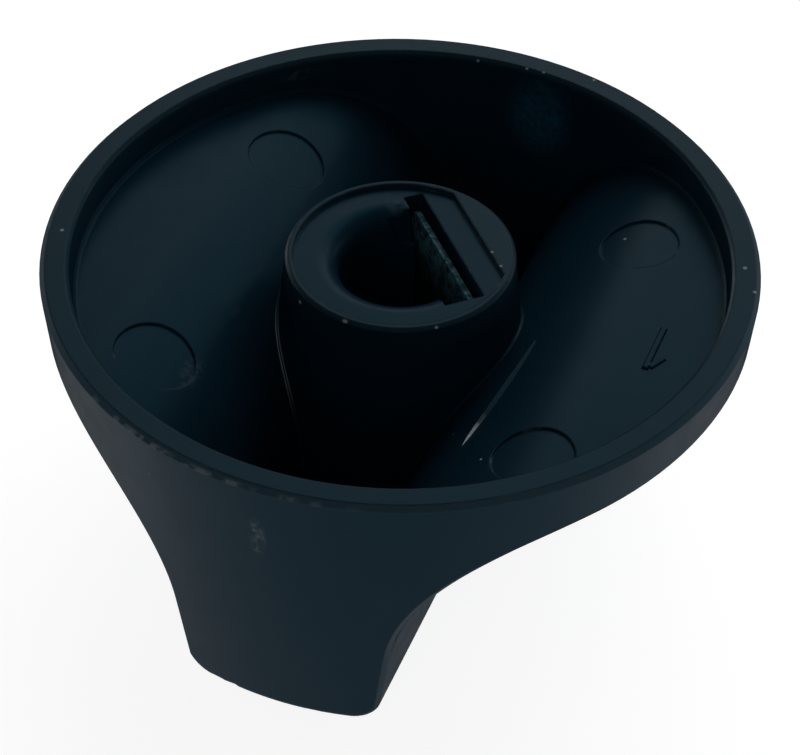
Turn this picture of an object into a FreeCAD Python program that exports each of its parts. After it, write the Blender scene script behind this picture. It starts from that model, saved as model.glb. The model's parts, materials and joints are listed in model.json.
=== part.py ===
import FreeCAD, Part
import math
import os

from FreeCAD import Vector

# Oven control knob: a drafted round skirt, scooped on two sides to leave a bar grip, cored out behind,
# with a socket for a flatted shaft in its hub and a folded steel leaf spring in the socket's slot.
# It stands on the end of its grip with the open rim up, as it lies when it is off the appliance.
# X runs across the grip, Y along it, and Z up the shaft's axis. Sizes are millimetres and degrees.

# Skirt and grip
SKIRT_DIAMETER = 47.0
TOTAL_HEIGHT = 21.5
SKIRT_WALL = 1.9
SKIRT_DRAFT = 4.7
FACE_DROP = 3.6  # from the rim down to the scooped face, at the skirt's edge
FACE_SLOPE = 6.8
FACE_WALL = 1.3  # least thickness of the scooped face, at the skirt's edge
SCOOP_RADIUS = 12.5
GRIP_WIDTH = 13.2  # across the flat end of the grip, before its edges are rounded
GRIP_DRAFT = 7.5
GRIP_WALL = 3.7
END_WALL = 2.0
CORE_RADIUS = 12.0  # where the inner shelf rolls down into the hollow of the grip

# Shaft that the socket takes
SHAFT_DIAMETER = 8.0
SHAFT_ACROSS_FLAT = 6.5
SHAFT_CLEARANCE = 0.05
FLAT_ANGLE = 42.3  # from X round to the middle of the shaft's flat

# Leaf spring, folded like a hairpin
SPRING_THICKNESS = 0.4
SPRING_FOLD_RADIUS = 0.2
SPRING_WIDTH = 10.6
SPRING_HEIGHT = 10.0
SPRING_BACK_HEIGHT = 6.0
SPRING_LEAN = 0.5  # how far the top of the front leaf leans back from the shaft
SPRING_PRESS = 0.04  # how far the front leaf reaches past the shaft's flat
SPRING_DROP = 1.25  # from the hub's top down to the spring's top
SPRING_CORNER_ROUND = 0.6
SPRING_SIDE_CLEARANCE = 0.2
SPRING_FRONT_CLEARANCE = 0.1

# Hub and socket
HUB_WALL = 0.95  # outside the corners of the spring's slot
HUB_DRAFT = 5.5
HUB_SETBACK = 0.15  # from the rim down to the hub's top
RECESS_LIP = 0.5
RECESS_DEPTH = 0.35
LEDGE_WIDTH = 1.85  # from the slot's back wall to the step at the recess's straight side
LEAD_IN_RADIUS = 1.5
SOCKET_FLOOR = 6.0  # thickness left between the socket and the end of the grip
NOTCH_FRONT = 0.95  # from the axis to the front of the notch that opens one end of the slot to the bore
NOTCH_DEPTH = 6.0  # down from the recess's floor

# Marks of the four ejector pins on the shelves
PIN_DIAMETER = 5.2
PIN_MARK_DEPTH = 0.15
PIN_SPACING_X = 25.7
PIN_SPACING_Y = 21.6
PIN_CENTRE_X = 0.7
PIN_CENTRE_Y = -1.4

# Break in the wall between the bore and one end of the slot, its outline and foot in bore radii
BREAK_DEPTH = 2.4  # down from the recess's floor
BREAK_TAPER = 0.55  # size of its foot as a share of its mouth
BREAK_OUTLINE = ((0.1, 0.75), (0.13, 1.14), (0.39, 1.09), (0.5, 1.13), (0.59, 1.12), (0.59, 0.75))
BREAK_FOOT = (0.59, 0.8)  # what the outline shrinks towards

# Bevels and rounds on the edges
RIM_BEVEL = 0.35
RIM_INNER_BEVEL = 0.2
SCOOP_EDGE_BEVEL = 0.3
GRIP_EDGE_ROUND = 2.0  # along the two sides of the grip's flat end
GRIP_END_ROUND = 0.4  # along the two ends of the grip's flat end
CORE_BEVEL = 0.2
HUB_EDGE_BEVEL = 0.2

# Sizes that follow from those above
RIM_Z = TOTAL_HEIGHT
SKIRT_RADIUS = SKIRT_DIAMETER / 2
INNER_RADIUS = SKIRT_RADIUS - SKIRT_WALL
SHELF_Z = RIM_Z - FACE_DROP + FACE_WALL
HUB_TOP_Z = RIM_Z - HUB_SETBACK
RECESS_Z = HUB_TOP_Z - RECESS_DEPTH
BORE_RADIUS = SHAFT_DIAMETER / 2 + SHAFT_CLEARANCE
SPRING_FRONT = SHAFT_ACROSS_FLAT - SHAFT_DIAMETER / 2 - SPRING_PRESS
SPRING_TOP_Z = HUB_TOP_Z - SPRING_DROP
SLOT_BACK = SPRING_FRONT + 2 * SPRING_THICKNESS + 2 * SPRING_FOLD_RADIUS
SLOT_FRONT = SPRING_FRONT - SPRING_FRONT_CLEARANCE
SLOT_LENGTH = SPRING_WIDTH + 2 * SPRING_SIDE_CLEARANCE
SLOT_FLOOR_Z = SPRING_TOP_Z - SPRING_HEIGHT
HUB_RADIUS = math.hypot(SLOT_BACK, SLOT_LENGTH / 2) + HUB_WALL
STEP_DISTANCE = SLOT_BACK + LEDGE_WIDTH
REACH = 2 * SKIRT_DIAMETER  # past every edge of the knob, for shapes that cut
NEAR = 0.001  # how close two places are that count as the same
SHARP_ANGLE = 3.0  # least turn between two faces that counts as an edge

ORIGIN = Vector(0, 0, 0)
UP = Vector(0, 0, 1)


def tangent(degrees):
    return math.tan(math.radians(degrees))


def chain(points):
    """Straight edges from point to point."""
    return [Part.LineSegment(start, end).toShape() for start, end in zip(points, points[1:])]


def arc(start, middle, end):
    return Part.Arc(start, middle, end).toShape()


def face_of(edges):
    return Part.Face(Part.Wire(Part.__sortEdges__(edges)))


def mirrored(shape):
    """The same shape on the other side of the grip."""
    return shape.mirror(ORIGIN, Vector(1, 0, 0))


def along_grip(edges):
    """Solid with this outline, in the plane of X and Z, through the whole knob along the grip."""
    solid = face_of(edges).extrude(Vector(0, 2 * REACH, 0))
    solid.translate(Vector(0, -REACH, 0))
    return solid


def turned_to_flat(shape):
    """A shape drawn with the shaft's flat towards X, turned to where the flat is."""
    shape.rotate(ORIGIN, UP, FLAT_ANGLE)
    return shape


def drafted_disc(rim_radius, low, high):
    """Round solid with the skirt's draft, its radius given at the rim."""
    low_radius = rim_radius - (RIM_Z - low) * tangent(SKIRT_DRAFT)
    high_radius = rim_radius - (RIM_Z - high) * tangent(SKIRT_DRAFT)
    return Part.makeCone(low_radius, high_radius, high - low, Vector(0, 0, low))


def bend(side_x, face_z, face_slope, radius):
    """Start, middle and end of the arc from a side of the grip, at side_x where Z is 0, to a face.

    The face has height face_z at the skirt's radius and falls by its slope towards the grip.
    """
    side_angle = math.radians(GRIP_DRAFT)
    face_angle = math.radians(face_slope)
    lean = math.tan(side_angle)
    rise = math.tan(face_angle)
    across = side_x + radius / math.cos(side_angle)
    up = face_z - SKIRT_RADIUS * rise - radius / math.cos(face_angle)
    centre_x = (across + lean * up) / (1 - lean * rise)
    centre = Vector(centre_x, 0, up + rise * centre_x)
    to_side = Vector(-math.cos(side_angle), 0, math.sin(side_angle))
    to_face = Vector(-math.sin(face_angle), 0, math.cos(face_angle))
    to_middle = (to_side + to_face).normalize()
    return [centre + way * radius for way in (to_side, to_middle, to_face)]


def scoop():
    """What is taken off the +X side of the blank, all along the grip."""
    on_side, middle, on_face = bend(GRIP_WIDTH / 2, RIM_Z - FACE_DROP, FACE_SLOPE, SCOOP_RADIUS)
    low_z = -RIM_Z
    edge_z = RIM_Z - FACE_DROP + (REACH - SKIRT_RADIUS) * tangent(FACE_SLOPE)
    foot = Vector(GRIP_WIDTH / 2 + low_z * tangent(GRIP_DRAFT), 0, low_z)
    corners = [on_face, Vector(REACH, 0, edge_z), Vector(REACH, 0, low_z), foot, on_side]
    return along_grip(chain(corners) + [arc(on_side, middle, on_face)])


def core(lowered=0):
    """Space over the two shelves and in the hollow of the grip, lowered by a step if one is given."""
    side_x = GRIP_WIDTH / 2 - GRIP_WALL / math.cos(math.radians(GRIP_DRAFT))
    on_side, middle, on_shelf = bend(side_x, SHELF_Z, 0, CORE_RADIUS)
    floor = Vector(side_x + END_WALL * tangent(GRIP_DRAFT), 0, END_WALL)
    floor_middle = Vector(0, 0, END_WALL)
    top_z = RIM_Z + SKIRT_DIAMETER
    half = chain([floor_middle, floor, on_side])
    half.append(arc(on_side, middle, on_shelf))
    half += chain([on_shelf, Vector(REACH, 0, SHELF_Z), Vector(REACH, 0, top_z), Vector(0, 0, top_z)])
    solid = along_grip(half + [mirrored(edge) for edge in half])
    solid.translate(Vector(0, 0, -lowered))
    return solid


def is_sharp(shape, edge):
    """True where the two faces at an edge meet at an angle, so that it can be broken."""
    faces = shape.ancestorsOfType(edge, Part.Face)
    if len(faces) != 2:
        return False
    middle = edge.valueAt((edge.FirstParameter + edge.LastParameter) / 2)
    normals = [face.normalAt(*face.Surface.parameter(middle)) for face in faces]
    return abs(normals[0].dot(normals[1])) < math.cos(math.radians(SHARP_ANGLE))


def sharp_edges(shape, wanted):
    """Sharp edges whose box is wanted."""
    return [edge for edge in shape.Edges if wanted(edge.BoundBox) and is_sharp(shape, edge)]


def outside():
    """The knob's outside before it is cored, with its edges broken."""
    side = scoop()
    solid = drafted_disc(SKIRT_RADIUS, 0, RIM_Z).cut(side).cut(mirrored(side))
    scoop_edges = sharp_edges(solid, lambda box: NEAR < box.ZMax < RIM_Z - NEAR)
    solid = solid.makeChamfer(SCOOP_EDGE_BEVEL, scoop_edges)
    long_edges = sharp_edges(solid, lambda box: box.ZMax < NEAR and box.XLength < NEAR)
    solid = solid.makeFillet(GRIP_EDGE_ROUND, long_edges)
    solid = solid.makeFillet(GRIP_END_ROUND, sharp_edges(solid, lambda box: box.ZMax < NEAR))
    return solid.makeChamfer(RIM_BEVEL, sharp_edges(solid, lambda box: box.ZMin > RIM_Z - NEAR))


def hub_blank():
    """Drafted post from inside the end wall up to the hub's top, with its top edge broken."""
    low_z = END_WALL / 2
    height = HUB_TOP_Z - low_z
    post = Part.makeCone(HUB_RADIUS + height * tangent(HUB_DRAFT), HUB_RADIUS, height, Vector(0, 0, low_z))
    return post.makeChamfer(HUB_EDGE_BEVEL, sharp_edges(post, lambda box: box.ZMin > HUB_TOP_Z - NEAR))


def hollow():
    """Everything that is open inside the skirt and the grip, round the hub."""
    over = RIM_Z + SKIRT_WALL
    space = drafted_disc(INNER_RADIUS, 0, over).common(core()).cut(hub_blank())
    return space.makeChamfer(CORE_BEVEL, sharp_edges(space, lambda box: box.ZMin < SHELF_Z + NEAR))


def pin_marks():
    """Shallow discs that the ejector pins leave, following the surface of the shelves."""
    spots = [Vector(PIN_CENTRE_X + i * PIN_SPACING_X / 2, PIN_CENTRE_Y + j * PIN_SPACING_Y / 2, END_WALL)
             for i in (-1, 1) for j in (-1, 1)]
    pins = Part.makeCompound([Part.makeCylinder(PIN_DIAMETER / 2, RIM_Z - END_WALL, spot) for spot in spots])
    return pins.common(core(PIN_MARK_DEPTH)).common(drafted_disc(INNER_RADIUS, 0, RIM_Z))


def break_out():
    """What has broken away beside the slot, drawn with the shaft's flat towards X."""
    def outline(share, z):
        points = []
        for corner in BREAK_OUTLINE:
            x, y = [(foot + (place - foot) * share) * BORE_RADIUS for foot, place in zip(BREAK_FOOT, corner)]
            points.append(Vector(x, y, z))
        return Part.makePolygon(points + points[:1])

    return Part.makeLoft([outline(1, HUB_TOP_Z), outline(BREAK_TAPER, RECESS_Z - BREAK_DEPTH)], True, True)


def before_plane(distance, low_z, high_z):
    """Block on the axis's side of a plane across the flat's direction."""
    return Part.makeBox(REACH + distance, 2 * REACH, high_z - low_z, Vector(-REACH, -REACH, low_z))


def socket():
    """What is cut from the hub: the recess in its top, the mouth, the bore, slot, notch and break."""
    top_z = RIM_Z
    mouth = BORE_RADIUS + LEAD_IN_RADIUS
    bore_top_z = RECESS_Z - LEAD_IN_RADIUS
    turn = LEAD_IN_RADIUS * math.sqrt(0.5)
    profile = chain([Vector(mouth, 0, RECESS_Z), Vector(mouth, 0, top_z), Vector(0, 0, top_z),
                     Vector(0, 0, SOCKET_FLOOR), Vector(BORE_RADIUS, 0, SOCKET_FLOOR),
                     Vector(BORE_RADIUS, 0, bore_top_z)])
    profile.append(arc(Vector(BORE_RADIUS, 0, bore_top_z), Vector(mouth - turn, 0, bore_top_z + turn),
                       Vector(mouth, 0, RECESS_Z)))
    bore = face_of(profile).revolve(ORIGIN, UP, 360)
    bore = bore.common(before_plane(SLOT_BACK, 0, top_z))
    recess = Part.makeCylinder(HUB_RADIUS - RECESS_LIP, top_z - RECESS_Z, Vector(0, 0, RECESS_Z))
    recess = recess.common(before_plane(STEP_DISTANCE, RECESS_Z, top_z))
    slot = Part.makeBox(SLOT_BACK - SLOT_FRONT, SLOT_LENGTH, top_z - SLOT_FLOOR_Z,
                        Vector(SLOT_FRONT, -SLOT_LENGTH / 2, SLOT_FLOOR_Z))
    notch = Part.makeBox((SLOT_FRONT + SLOT_BACK) / 2 - NOTCH_FRONT, (SLOT_LENGTH - BORE_RADIUS) / 2,
                         top_z - RECESS_Z + NOTCH_DEPTH,
                         Vector(NOTCH_FRONT, -SLOT_LENGTH / 2, RECESS_Z - NOTCH_DEPTH))
    return turned_to_flat(recess.fuse([bore, slot, notch, break_out()]))


def knob_body():
    body = outside().cut(hollow())
    inner_rim = sharp_edges(body, lambda box: box.ZMin > RIM_Z - NEAR and box.XMax < INNER_RADIUS + NEAR)
    body = body.makeChamfer(RIM_INNER_BEVEL, inner_rim)
    return body.cut(pin_marks()).cut(socket())


def shaft_spring():
    """Hairpin of sheet steel: its back leaf on the slot's back wall, its front leaf facing the bore."""
    fold_x = SLOT_BACK - SPRING_THICKNESS - SPRING_FOLD_RADIUS
    fold_z = SLOT_FLOOR_Z + SPRING_THICKNESS + SPRING_FOLD_RADIUS
    height = SPRING_TOP_Z - fold_z
    bow = (height ** 2 + SPRING_LEAN ** 2) / (2 * SPRING_LEAN)
    sweep = math.asin(height / bow)

    def on_bow(radius, share):
        angle = sweep * share
        return Vector(SPRING_FRONT + bow - radius * math.cos(angle), 0, fold_z + radius * math.sin(angle))

    def leaf_arc(radius):
        return arc(on_bow(radius, 0), on_bow(radius, 0.5), on_bow(radius, 1))

    def fold_arc(radius):
        return arc(Vector(fold_x - radius, 0, fold_z), Vector(fold_x, 0, fold_z - radius),
                   Vector(fold_x + radius, 0, fold_z))

    front = bow
    rear = bow - SPRING_THICKNESS
    back_top = SLOT_FLOOR_Z + SPRING_BACK_HEIGHT
    back_inside = SLOT_BACK - SPRING_THICKNESS
    edges = [leaf_arc(front), leaf_arc(rear), fold_arc(SPRING_FOLD_RADIUS),
             fold_arc(SPRING_FOLD_RADIUS + SPRING_THICKNESS)]
    edges += chain([on_bow(front, 1), on_bow(rear, 1)])
    edges += chain([Vector(back_inside, 0, fold_z), Vector(back_inside, 0, back_top),
                    Vector(SLOT_BACK, 0, back_top), Vector(SLOT_BACK, 0, fold_z)])
    strip = face_of(edges).extrude(Vector(0, SPRING_WIDTH, 0))
    strip.translate(Vector(0, -SPRING_WIDTH / 2, 0))
    corner_edges = [edge for edge in strip.Edges
                    if edge.BoundBox.YLength < NEAR and edge.BoundBox.ZMin > SPRING_TOP_Z - SPRING_THICKNESS]
    strip = strip.makeFillet(SPRING_CORNER_ROUND, corner_edges)
    return turned_to_flat(strip)


os.makedirs("parts", exist_ok=True)
knob_body().exportStep("parts/knob_body.step")
shaft_spring().exportStep("parts/shaft_spring.step")
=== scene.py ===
import json
import math

import bpy
from mathutils import Matrix, Vector

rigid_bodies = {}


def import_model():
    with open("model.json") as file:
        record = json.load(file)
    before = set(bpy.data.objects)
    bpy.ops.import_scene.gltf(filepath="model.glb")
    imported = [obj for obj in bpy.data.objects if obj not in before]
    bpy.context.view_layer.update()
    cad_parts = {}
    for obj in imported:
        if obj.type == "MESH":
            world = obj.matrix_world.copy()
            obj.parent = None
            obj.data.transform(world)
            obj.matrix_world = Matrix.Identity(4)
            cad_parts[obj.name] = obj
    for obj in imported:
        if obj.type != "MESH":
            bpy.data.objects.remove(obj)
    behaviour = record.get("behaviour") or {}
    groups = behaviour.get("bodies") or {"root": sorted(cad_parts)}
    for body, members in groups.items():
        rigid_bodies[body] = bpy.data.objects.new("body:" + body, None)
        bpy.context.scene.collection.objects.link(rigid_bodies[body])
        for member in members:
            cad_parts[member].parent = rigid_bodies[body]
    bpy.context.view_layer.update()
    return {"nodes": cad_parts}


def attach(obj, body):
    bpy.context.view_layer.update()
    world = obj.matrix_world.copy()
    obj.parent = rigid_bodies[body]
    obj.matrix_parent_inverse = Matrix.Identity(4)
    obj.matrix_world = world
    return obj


# Looks, light and camera for the oven control knob. Sizes are metres and degrees, in the frame of the solids:
# X across the grip, Y along it, Z up out of the socket.

# Camera
LENS_MM = 126.21
SENSOR_MM = 36.0
CAMERA_DISTANCE = 0.190684
CAMERA_AZIMUTH = 20.758  # azimuths run from -Y round to +X
CAMERA_ELEVATION = 43.197
CAMERA_ROLL = 0.782
AIM_HEIGHT = 0.010134
AIM_ASIDE = 0.000082
NEAR_LIMIT = 0.05  # of the camera's distance

# Light
WORLD_STRENGTH = 0.05
LAMP_DISTANCE = 0.8
BACK_LAMP_AZIMUTH = 181.0
BACK_LAMP_ELEVATION = 43.5
BACK_LAMP_SIZE = (0.8, 0.72)
BACK_LAMP_WATTS = 4.3
FRONT_LAMP_AZIMUTH = 11.0
FRONT_LAMP_ELEVATION = 36.0
FRONT_LAMP_SIZE = (0.6, 0.6)
FRONT_LAMP_WATTS = 0.9
SIDE_LAMP_AZIMUTHS = (125.0, 250.0)
SIDE_LAMP_ELEVATION = 5.0
SIDE_LAMP_SIZE = (0.8, 0.14)
SIDE_LAMP_WATTS = 2.2
FLOOR_SIZE = 4.0
FLOOR_GLOW = 0.88  # part of the floor's white that no shadow takes away
FLOOR_COLOUR = (0.28, 0.28, 0.28, 1.0)  # what the lamps add to it
WHITE = (1.0, 1.0, 1.0, 1.0)

# Plastic
PLASTIC_DEEP = (0.0022, 0.0120, 0.0212, 1.0)
PLASTIC_PALE = (0.0030, 0.0144, 0.0245, 1.0)
PLASTIC_RUBBED = (0.0070, 0.0180, 0.0260, 1.0)  # on the rim and the hub's top
PLASTIC_HAZE = (0.005, 0.055, 0.090, 1.0)
# Rim's outer edge: partly wear, partly painted highlight
PLASTIC_RIM_WEAR_AND_HIGHLIGHT = (0.017, 0.035, 0.047, 1.0)
PLASTIC_SCUFF = (0.075, 0.095, 0.105, 1.0)
# pale colour of nicks and of painted highlights on the hub's lip
PLASTIC_NICK_AND_HIGHLIGHT = (0.17, 0.21, 0.22, 1.0)
PLASTIC_PAINTED_HIGHLIGHT = (0.38, 0.44, 0.46, 1.0)  # painted highlight: the thin pale lines beside the hub
PLASTIC_IOR = 1.15
PLASTIC_TINT = (0.0, 0.65, 1.0, 1.0)
SHEEN = 0.42
SHEEN_FADES_FROM = 0.40  # cosine of the angle past which the fine grain dulls the sheen
SHEEN_POWER = 3.0
RIM_EDGE_SHEEN = 0.2  # share of the sheen that the rim's edge keeps; its paler colour is partly wear and partly painted highlight in place of the rest
RAW_FROM = 0.5  # share of a raw place from which no sheen is left
EVEN_FACING = 0.5  # blend at which Layer Weight's facing falls evenly with the cosine
PLASTIC_ROUGH = (0.32, 0.37)
ROUGH_PER_METRE = 700.0
ROUGH_NOISE = (0.25, 0.75)  # noise from which the roughness takes its two ends
RUBBED_FROM = (0.0210, 0.0212)  # heights where the rubbed top begins and is full
RIM_EDGE_ENDS = (0.021495, 0.02148)  # heights where the rim's edge, worn and with a painted highlight, ends and is still full
RIM_LINE_ENDS = (0.02140, 0.02125)  # heights where the broken pale line along it ends and is still full
RIM_FROM = (0.0220, 0.0226)  # distances from the axis where the rim's outer edge begins and is full
HUB_CLEAR = (0.0125, 0.0135)  # distances from the axis where worn edges begin and are full
HIGH_FROM = (0.019, 0.020)  # heights where they begin and are full closer to the axis
EDGE_ROUND = 0.0002
EDGE_SAMPLES = 6
EDGE_TURN = (0.97, 0.80)  # cosines between the true and the rounded surface where an edge begins and is full
WEAR_PER_METRE = 900.0
WORN_NOISE = (0.55, 0.75)  # noise where a worn edge begins and is full
BROKEN_NOISE = (0.45, 0.60)  # the same for the broken line along the rim
STREAKS_PER_METRE = 2400.0
SCUFF_NOISE = (0.35, 0.75)  # the same for scuffs
SCUFF_SHARE = 0.7
FAINT_SHARE = 0.4  # how strong a faint scuff is beside a full one
MARK_CORE = 0.3  # share of its reach within which a mark is full
GRAIN_PER_METRE = 5200.0
GRAIN_HEIGHT = 0.000005
MOTTLE_PER_METRE = 260.0
DUST = (0.20, 0.25, 0.27, 1.0)
DUST_CELLS_PER_METRE = 260.0
DUST_REACH = 0.03  # of a cell

# Places with marks: where the middle is and how far it reaches along X, Y and Z
HAZE = (
    ((0.0024, 0.0212, 0.0179), (0.0031, 0.0020, 0.0042)),
)
SCUFFS = (
    ((-0.0003, -0.0231, 0.0168), (0.0007, 0.0006, 0.0022)),
)
FAINT_SCUFFS = (
    ((-0.0140, 0.0163, 0.0204), (0.0018, 0.0018, 0.0006)),
    ((-0.0098, -0.0118, 0.0174), (0.0010, 0.0018, 0.0008)),
    ((-0.0095, -0.0053, 0.0173), (0.0003, 0.0007, 0.0006)),
    ((-0.0018, 0.0047, 0.0209), (0.0014, 0.0010, 0.0004)),
)
WORN_RIM = (
    ((-0.0050, -0.0220, 0.0212), (0.0130, 0.0060, 0.0012)),
)
# Painted highlight along the concave edge at the hub's foot on the -X side
HUB_FOOT_PAINTED_HIGHLIGHT = (
    ((-0.0066, -0.0066, 0.0145), (0.0035, 0.0060, 0.0055)),
)
# Small pale spots: nicks, and two painted highlights on the hub's near lip
NICKS_AND_HIGHLIGHTS = (
    ((-0.00247, 0.02144, 0.02129), (0.00015, 0.00015, 0.00015)),
    ((0.0011, 0.0217, 0.02144), (0.00016, 0.00012, 0.00012)),
    ((0.00235, 0.02167, 0.02149), (0.00016, 0.00012, 0.00012)),
    ((0.00592, 0.02215, 0.0215), (0.00015, 0.00015, 0.00015)),
    ((0.01233, 0.01002, 0.0185), (0.00015, 0.00015, 0.0002)),
    ((0.00554, 0.00225, 0.02135), (0.00015, 0.00015, 0.00015)),
    ((0.00655, 0.00116, 0.02135), (0.00015, 0.00015, 0.00015)),
    ((0.02137, 0.00673, 0.0215), (0.0002, 0.0002, 0.0002)),
    ((0.02262, 0.00470, 0.0215), (0.00018, 0.00018, 0.00018)),
    ((-0.02135, -0.00639, 0.0215), (0.00018, 0.00018, 0.00018)),
    # the next two are painted highlights on the hub's near lip
    ((-0.00088, -0.00746, 0.02122), (0.00026, 0.0002, 0.00016)),
    ((0.0047, -0.0058, 0.0212), (0.00018, 0.00018, 0.00012)),
    ((-0.00454, -0.00613, 0.02055), (0.0002, 0.0002, 0.0002)),
)
RAW_PLACES = (
    ((-0.00155, 0.0038, 0.0194), (0.0016, 0.0016, 0.0015)),
)

# Raised figure on the +X shelf, a plain 1 with its top towards -Y
SHELF_HEIGHT = 0.0192
FIGURE_TOP = (0.01765, -0.0025)
FIGURE_STEM = 0.0042
FIGURE_FLAG_START = (0.01786, -0.00228)
FIGURE_FLAG = 0.0014
FIGURE_FLAG_ANGLE = 27.0  # between the flag and the stem
FIGURE_STROKE = 0.0005
FIGURE_HEIGHT = 0.00013
FIGURE_SLANT = 0.00009  # how far a side leans in, from its foot to its top
SINK = 0.00002  # how far the foot of the figure and of the line reaches into the moulding

# Fine raised line on the +X roll beside the hub: its start, a point near its middle and its end
LINE_START = (0.0098, -0.0005)
LINE_MIDDLE = (0.0093, -0.0058)
LINE_END = (0.0084, -0.0108)
LINE_WIDTH = 0.0004
LINE_HEIGHT = 0.00025
LINE_STEPS = 16
RAY_START_HEIGHT = 1.0  # well above the part, from where the line is dropped onto the moulding
LINE_PALE_FROM = (-0.0078, -0.0104)  # along Y, where the painted highlight on the line begins and is palest
LINE_SHEEN = 0.2
LINE_RAGGED_PER_METRE = 1500.0
LINE_NOISE = (0.2, 0.5)  # noise where the paling begins and is full
LINE_TAPER = 0.5  # power that rounds its pointed ends
# The line is paler than the moulding: painted highlight
PLASTIC_LINE = (0.010, 0.026, 0.034, 1.0)

# Spring steel
STEEL_CLEAN = (0.09, 0.24, 0.30, 1.0)
STEEL_DULL = (0.010, 0.034, 0.045, 1.0)
STEEL_RUST = (0.020, 0.032, 0.032, 1.0)
# Painted shade: the spring darkens down the bore
STEEL_PAINTED_SHADE = (0.003, 0.008, 0.011, 1.0)
STEEL_PAINTED_SHADE_HEIGHTS = (0.0198, 0.0160)  # where the painted shade down the bore begins and is full
STEEL_SPOTS_PER_METRE = 1500.0
STEEL_SPOT_NOISE = (0.40, 0.62)  # noise where a dull spot begins and is full
STEEL_RUST_PER_METRE = 900.0
STEEL_RUST_NOISE = (0.52, 0.66)
STEEL_TOP_TURN = (0.3, 0.8)  # upward part of the normal where the top edge's dullness begins and is full
STEEL_TOP_DULL = 0.7
STEEL_ROUGH = (0.50, 0.85)
STEEL_ROUGH_NOISE = (0.35, 0.65)
STEEL_METAL = (0.6, 0.1)  # bare and rusted
STEEL_GLOSS = 0.1
STEEL_BUMP = 0.00002


def clear_start_scene():
    """Takes away what a new Blender file holds, so that only the part is measured."""
    for thing in list(bpy.data.objects):
        bpy.data.objects.remove(thing, do_unlink=True)


def direction(azimuth, elevation):
    around = math.radians(azimuth)
    up = math.radians(elevation)
    return Vector((math.sin(around) * math.cos(up), -math.cos(around) * math.cos(up), math.sin(up)))


def add(tree, kind, inputs=None, **settings):
    """New node with its settings and inputs; an input is a value or another node's socket."""
    made = tree.nodes.new(kind)
    for name, value in settings.items():
        setattr(made, name, value)
    for name, value in (inputs or {}).items():
        if isinstance(value, bpy.types.NodeSocket):
            tree.links.new(value, made.inputs[name])
        else:
            made.inputs[name].default_value = value
    return made


def math_of(tree, operation, first, second=0.0):
    return add(tree, "ShaderNodeMath", {0: first, 1: second}, operation=operation, use_clamp=True).outputs[0]


def vector_of(tree, operation, first, second, output="Vector"):
    return add(tree, "ShaderNodeVectorMath", {0: first, 1: second}, operation=operation).outputs[output]


def spread(tree, value, low, high, to_low=0.0, to_high=1.0):
    """Value taken smoothly from one range to another, and no further."""
    inputs = {"Value": value, "From Min": low, "From Max": high, "To Min": to_low, "To Max": to_high}
    return add(tree, "ShaderNodeMapRange", inputs, interpolation_type="SMOOTHSTEP").outputs["Result"]


def noise(tree, place, per_metre, detail=2.0, roughness=0.5):
    inputs = {"Vector": place, "Scale": per_metre, "Detail": detail, "Roughness": roughness}
    return add(tree, "ShaderNodeTexNoise", inputs).outputs["Fac"]


def mixed(tree, share, first, second):
    inputs = {0: share, 6: first, 7: second}
    return add(tree, "ShaderNodeMix", inputs, data_type="RGBA").outputs[2]


def marks(tree, place, spots):
    """1 in the middle of each spot, falling to 0 at its reach."""
    share = 0.0
    for middle, reach in spots:
        away = vector_of(tree, "DIVIDE", vector_of(tree, "SUBTRACT", place, middle), reach)
        distance = vector_of(tree, "LENGTH", away, (0, 0, 0), "Value")
        share = math_of(tree, "MAXIMUM", spread(tree, distance, 1.0, MARK_CORE), share)
    return share


def dust(tree, place):
    """Sparse round specks, where the surface passes close to the middle of a cell."""
    inputs = {"Vector": place, "Scale": DUST_CELLS_PER_METRE}
    distance = add(tree, "ShaderNodeTexVoronoi", inputs, feature="F1").outputs["Distance"]
    return spread(tree, distance, DUST_REACH, DUST_REACH / 2)


def empty_material(name):
    material = bpy.data.materials.new(name)
    material.use_nodes = True
    material.node_tree.nodes.clear()
    return material, material.node_tree


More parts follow.
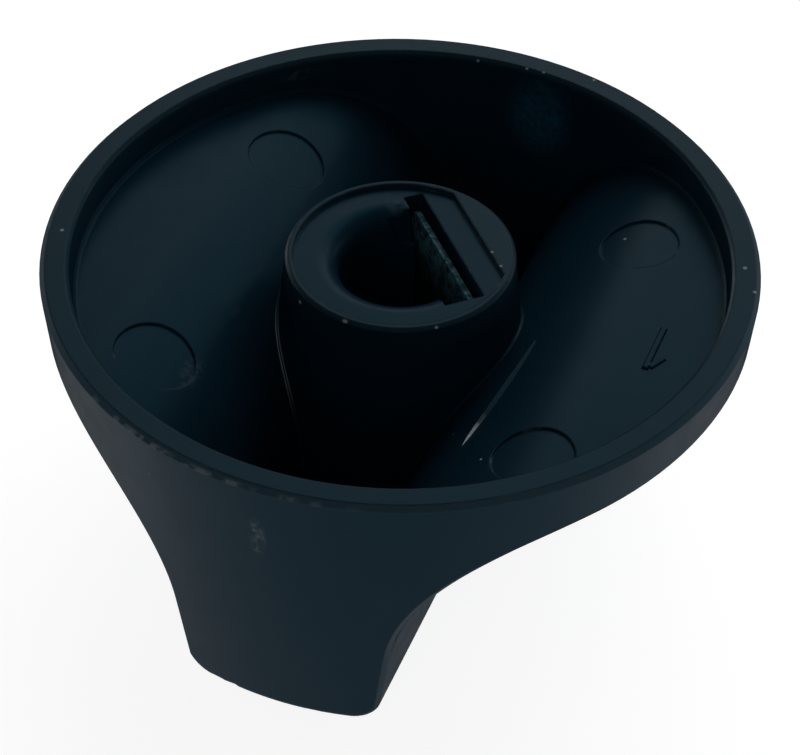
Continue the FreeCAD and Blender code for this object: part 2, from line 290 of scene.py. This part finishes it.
def plastic():
    """Satin blue-black moulding with a fine grain, soft edges, a rubbed top, light scuffs and dust."""
    material, tree = empty_material("satin_moulding")
    place = add(tree, "ShaderNodeTexCoord").outputs["Object"]
    height = add(tree, "ShaderNodeSeparateXYZ", {"Vector": place}).outputs["Z"]
    soft = add(tree, "ShaderNodeBevel", {"Radius": EDGE_ROUND}, samples=EDGE_SAMPLES).outputs["Normal"]
    true = add(tree, "ShaderNodeNewGeometry").outputs["Normal"]
    edge = spread(tree, vector_of(tree, "DOT_PRODUCT", soft, true, "Value"), *EDGE_TURN)
    ragged = noise(tree, place, WEAR_PER_METRE, detail=5.0)
    level = vector_of(tree, "MULTIPLY", place, (1, 1, 0))
    away = vector_of(tree, "LENGTH", level, (0, 0, 0), "Value")
    rim = spread(tree, away, *RIM_FROM)
    rubbed = spread(tree, height, *RUBBED_FROM)
    rim_edge = math_of(tree, "MULTIPLY", rubbed, rim)
    rim_edge = math_of(tree, "MULTIPLY", rim_edge, spread(tree, height, *RIM_EDGE_ENDS))
    high = math_of(tree, "MAXIMUM", spread(tree, away, *HUB_CLEAR), spread(tree, height, *HIGH_FROM))
    worn = math_of(tree, "MULTIPLY", math_of(tree, "MULTIPLY", edge, high), spread(tree, ragged, *WORN_NOISE))
    broken = math_of(tree, "MULTIPLY", marks(tree, place, WORN_RIM), spread(tree, ragged, *BROKEN_NOISE))
    broken = math_of(tree, "MULTIPLY", broken, spread(tree, height, *RIM_LINE_ENDS))
    worn = math_of(tree, "MAXIMUM", worn, math_of(tree, "MULTIPLY", rim_edge, broken))
    streaks = noise(tree, place, STREAKS_PER_METRE, detail=4.0)
    faint = math_of(tree, "MULTIPLY", marks(tree, place, FAINT_SCUFFS), FAINT_SHARE)
    scuffed = math_of(tree, "MAXIMUM", marks(tree, place, SCUFFS), faint)
    scuffed = math_of(tree, "MULTIPLY", scuffed, spread(tree, streaks, *SCUFF_NOISE, 0.0, SCUFF_SHARE))
    haze = math_of(tree, "MULTIPLY", marks(tree, place, HAZE), spread(tree, streaks, 0.0, 1.0))
    # painted highlight along the edge at the hub's foot
    foot = math_of(tree, "MULTIPLY", edge, marks(tree, place, HUB_FOOT_PAINTED_HIGHLIGHT))
    colour = mixed(tree, noise(tree, place, MOTTLE_PER_METRE, detail=4.0), PLASTIC_DEEP, PLASTIC_PALE)
    colour = mixed(tree, rubbed, colour, PLASTIC_RUBBED)
    # rim's outer edge paler: partly wear, partly painted highlight in place of the sheen taken off there
    colour = mixed(tree, rim_edge, colour, PLASTIC_RIM_WEAR_AND_HIGHLIGHT)
    colour = mixed(tree, haze, colour, PLASTIC_HAZE)
    colour = mixed(tree, math_of(tree, "MAXIMUM", worn, scuffed), colour, PLASTIC_SCUFF)
    # nicks, and painted highlights on the hub's near lip
    colour = mixed(tree, marks(tree, place, NICKS_AND_HIGHLIGHTS), colour, PLASTIC_NICK_AND_HIGHLIGHT)
    colour = mixed(tree, foot, colour, PLASTIC_PAINTED_HIGHLIGHT)
    colour = mixed(tree, dust(tree, place), colour, DUST)
    rough = spread(tree, noise(tree, place, ROUGH_PER_METRE, detail=3.0), *ROUGH_NOISE, *PLASTIC_ROUGH)
    grain = noise(tree, place, GRAIN_PER_METRE, detail=2.0)
    bump = add(tree, "ShaderNodeBump", {"Height": grain, "Distance": GRAIN_HEIGHT, "Normal": soft})
    inputs = {"Blend": EVEN_FACING, "Normal": bump.outputs["Normal"]}
    facing = add(tree, "ShaderNodeLayerWeight", inputs).outputs["Facing"]
    sheen = math_of(tree, "DIVIDE", math_of(tree, "SUBTRACT", 1.0, facing), SHEEN_FADES_FROM)
    sheen = math_of(tree, "POWER", sheen, SHEEN_POWER)
    raw = marks(tree, place, RAW_PLACES)
    sheen = math_of(tree, "MULTIPLY", sheen, spread(tree, raw, 0.0, RAW_FROM, SHEEN, 0.0))
    sheen = math_of(tree, "MULTIPLY", sheen, spread(tree, rim_edge, 0.0, 1.0, 1.0, RIM_EDGE_SHEEN))
    inputs = {"Base Color": colour, "Roughness": rough, "IOR": PLASTIC_IOR, "Specular IOR Level": sheen,
              "Specular Tint": PLASTIC_TINT, "Normal": bump.outputs["Normal"]}
    shader = add(tree, "ShaderNodeBsdfPrincipled", inputs)
    add(tree, "ShaderNodeOutputMaterial", {"Surface": shader.outputs["BSDF"]})
    return material


def pale_plastic():
    """Plastic of the fine line, paler than the moulding and palest at its end: painted highlight."""
    material, tree = empty_material("line_painted_highlight")
    place = add(tree, "ShaderNodeTexCoord").outputs["Object"]
    along = add(tree, "ShaderNodeSeparateXYZ", {"Vector": place}).outputs["Y"]
    ragged = noise(tree, place, LINE_RAGGED_PER_METRE, detail=4.0)
    # painted highlight, palest towards the line's end
    pale = math_of(tree, "MULTIPLY", spread(tree, along, *LINE_PALE_FROM), spread(tree, ragged, *LINE_NOISE))
    colour = mixed(tree, pale, PLASTIC_LINE, PLASTIC_PAINTED_HIGHLIGHT)
    rough = spread(tree, ragged, *ROUGH_NOISE, *PLASTIC_ROUGH)
    bump = add(tree, "ShaderNodeBump", {"Height": ragged, "Distance": GRAIN_HEIGHT})
    inputs = {"Base Color": colour, "Roughness": rough, "IOR": PLASTIC_IOR, "Specular IOR Level": LINE_SHEEN,
              "Specular Tint": PLASTIC_TINT, "Normal": bump.outputs["Normal"]}
    shader = add(tree, "ShaderNodeBsdfPrincipled", inputs)
    add(tree, "ShaderNodeOutputMaterial", {"Surface": shader.outputs["BSDF"]})
    return material


def steel():
    """Spring steel, dull and speckled with rust, darker on faces that point up, and darker down in the bore
    as painted shade.
    """
    material, tree = empty_material("speckled_steel")
    place = add(tree, "ShaderNodeTexCoord").outputs["Object"]
    speckle = noise(tree, place, STEEL_SPOTS_PER_METRE, detail=6.0, roughness=0.7)
    colour = mixed(tree, spread(tree, speckle, *STEEL_SPOT_NOISE), STEEL_CLEAN, STEEL_DULL)
    patches = noise(tree, place, STEEL_RUST_PER_METRE, detail=5.0, roughness=0.65)
    rust = spread(tree, patches, *STEEL_RUST_NOISE)
    colour = mixed(tree, rust, colour, STEEL_RUST)
    true = add(tree, "ShaderNodeNewGeometry").outputs["Normal"]
    upward = add(tree, "ShaderNodeSeparateXYZ", {"Vector": true}).outputs["Z"]
    colour = mixed(tree, spread(tree, upward, *STEEL_TOP_TURN, 0.0, STEEL_TOP_DULL), colour, STEEL_DULL)
    height = add(tree, "ShaderNodeSeparateXYZ", {"Vector": place}).outputs["Z"]
    # painted shade, darker down the bore
    colour = mixed(tree, spread(tree, height, *STEEL_PAINTED_SHADE_HEIGHTS), colour, STEEL_PAINTED_SHADE)
    rough = spread(tree, speckle, *STEEL_ROUGH_NOISE, *STEEL_ROUGH)
    bump = add(tree, "ShaderNodeBump", {"Height": speckle, "Distance": STEEL_BUMP})
    metal = spread(tree, rust, 0.0, 1.0, *STEEL_METAL)
    inputs = {"Base Color": colour, "Roughness": rough, "Metallic": metal, "Specular IOR Level": STEEL_GLOSS,
              "Normal": bump.outputs["Normal"]}
    shader = add(tree, "ShaderNodeBsdfPrincipled", inputs)
    add(tree, "ShaderNodeOutputMaterial", {"Surface": shader.outputs["BSDF"]})
    return material


def white_surroundings():
    world = bpy.data.worlds.new("white_surroundings")
    world.use_nodes = True
    tree = world.node_tree
    tree.nodes.clear()
    shader = add(tree, "ShaderNodeBackground", {"Color": WHITE, "Strength": WORLD_STRENGTH})
    add(tree, "ShaderNodeOutputWorld", {"Surface": shader.outputs["Background"]})
    bpy.context.scene.world = world


def floor_material():
    """White floor that keeps a soft shadow and sends light back up."""
    material, tree = empty_material("white_floor")
    matt = add(tree, "ShaderNodeBsdfDiffuse", {"Color": FLOOR_COLOUR}).outputs[0]
    glow = add(tree, "ShaderNodeEmission", {"Color": WHITE, "Strength": FLOOR_GLOW}).outputs[0]
    shader = add(tree, "ShaderNodeAddShader", {0: matt, 1: glow})
    add(tree, "ShaderNodeOutputMaterial", {"Surface": shader.outputs[0]})
    return material


def mesh_object(name, points, faces):
    mesh = bpy.data.meshes.new(name)
    mesh.from_pydata(points, [], faces)
    made = bpy.data.objects.new(name, mesh)
    bpy.context.scene.collection.objects.link(made)
    return made


def floor():
    half = FLOOR_SIZE / 2
    corners = [(-half, -half, 0), (half, -half, 0), (half, half, 0), (-half, half, 0)]
    made = mesh_object("floor", corners, [(0, 1, 2, 3)])
    made.data.materials.append(floor_material())


def stroke(start, way, length, height):
    """Corners of a flat-topped ridge on the shelf, from a point and along an angle from X."""
    place = Matrix.Translation((*start, SHELF_HEIGHT)) @ Matrix.Rotation(math.radians(way), 4, "Z")
    corners = []
    for inset, z in ((0, -SINK), (FIGURE_SLANT, height)):
        side = FIGURE_STROKE / 2 - inset
        end = length - inset
        corners += [(inset, -side, z), (end, -side, z), (end, side, z), (inset, side, z)]
    return [place @ Vector(corner) for corner in corners]


def figure(material):
    """A plain 1. Its flag is a hair lower than its stem, so that no two faces share a plane."""
    sides = [(i, (i + 1) % 4, (i + 1) % 4 + 4, i + 4) for i in range(4)]
    ridge = [(3, 2, 1, 0), (4, 5, 6, 7)] + sides
    points = stroke(FIGURE_TOP, 90, FIGURE_STEM, FIGURE_HEIGHT)
    points += stroke(FIGURE_FLAG_START, 90 - FIGURE_FLAG_ANGLE, FIGURE_FLAG, FIGURE_HEIGHT - SINK)
    faces = [[corner + first for corner in face] for first in (0, 8) for face in ridge]
    made = mesh_object("figure", points, faces)
    made.data.materials.append(material)
    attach(made, "root")


def on_top(x, y):
    """Place on the moulding's top surface at X and Y, and the way out of it."""
    start = Vector((x, y, RAY_START_HEIGHT))
    _, place, out, _ = frame["nodes"]["knob_body"].ray_cast(start, Vector((0, 0, -1)))
    return place, out


def fine_line(material):
    """Thin ridge with a point at each end, along a curve through three places."""
    start, middle, end = [Vector(place) for place in (LINE_START, LINE_MIDDLE, LINE_END)]
    pull = 2 * middle - (start + end) / 2
    points = []
    for step in range(LINE_STEPS + 1):
        share = step / LINE_STEPS
        spot = start * (1 - share) ** 2 + pull * 2 * share * (1 - share) + end * share ** 2
        ahead = (pull - start) * (1 - share) + (end - pull) * share
        place, out = on_top(*spot)
        side = Vector((ahead.x, ahead.y, 0)).cross(out).normalized()
        size = math.sin(math.pi * share) ** LINE_TAPER
        foot = place - out * SINK
        reach = side * LINE_WIDTH / 2 * size
        points += [foot - reach, place + out * LINE_HEIGHT * size, foot + reach]
    faces = []
    for step in range(LINE_STEPS):
        first = 3 * step
        for a, b in ((0, 1), (1, 2), (2, 0)):
            faces.append((first + a, first + b, first + 3 + b, first + 3 + a))
    made = mesh_object("fine_line", points, faces)
    made.data.materials.append(material)
    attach(made, "root")


def softbox(name, azimuth, elevation, size, watts):
    """Rectangular lamp that faces the knob from a direction."""
    lamp = bpy.data.lights.new(name, "AREA")
    lamp.shape = "RECTANGLE"
    lamp.size, lamp.size_y = size
    lamp.energy = watts
    made = bpy.data.objects.new(name, lamp)
    place = direction(azimuth, elevation) * LAMP_DISTANCE
    turn = (-place).to_track_quat("-Z", "Y").to_matrix().to_4x4()
    made.matrix_world = Matrix.Translation(place) @ turn
    bpy.context.scene.collection.objects.link(made)


def camera():
    data = bpy.data.cameras.new("camera")
    data.sensor_fit = "HORIZONTAL"
    data.sensor_width = SENSOR_MM
    data.lens = LENS_MM
    data.clip_start = CAMERA_DISTANCE * NEAR_LIMIT
    made = bpy.data.objects.new("camera", data)
    back = direction(CAMERA_AZIMUTH, CAMERA_ELEVATION)
    right = direction(CAMERA_AZIMUTH + 90, 0)
    aim = Vector((0, 0, AIM_HEIGHT)) + right * AIM_ASIDE
    turn = back.to_track_quat("Z", "Y").to_matrix().to_4x4()
    roll = Matrix.Rotation(math.radians(CAMERA_ROLL), 4, "Z")
    made.matrix_world = Matrix.Translation(aim + back * CAMERA_DISTANCE) @ turn @ roll
    bpy.context.scene.collection.objects.link(made)
    bpy.context.scene.camera = made


def dress(name, material):
    """Gives a solid of the frame its material."""
    for slot in frame["nodes"][name].material_slots:
        slot.material = material


clear_start_scene()
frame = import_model()
moulding = plastic()
dress("knob_body", moulding)
dress("shaft_spring", steel())
figure(moulding)
fine_line(pale_plastic())
white_surroundings()
floor()
softbox("back_lamp", BACK_LAMP_AZIMUTH, BACK_LAMP_ELEVATION, BACK_LAMP_SIZE, BACK_LAMP_WATTS)
softbox("front_lamp", FRONT_LAMP_AZIMUTH, FRONT_LAMP_ELEVATION, FRONT_LAMP_SIZE, FRONT_LAMP_WATTS)
for side, azimuth in enumerate(SIDE_LAMP_AZIMUTHS):
    softbox(f"side_lamp_{side}", azimuth, SIDE_LAMP_ELEVATION, SIDE_LAMP_SIZE, SIDE_LAMP_WATTS)
camera()
bpy.context.scene.view_settings.view_transform = "Standard"
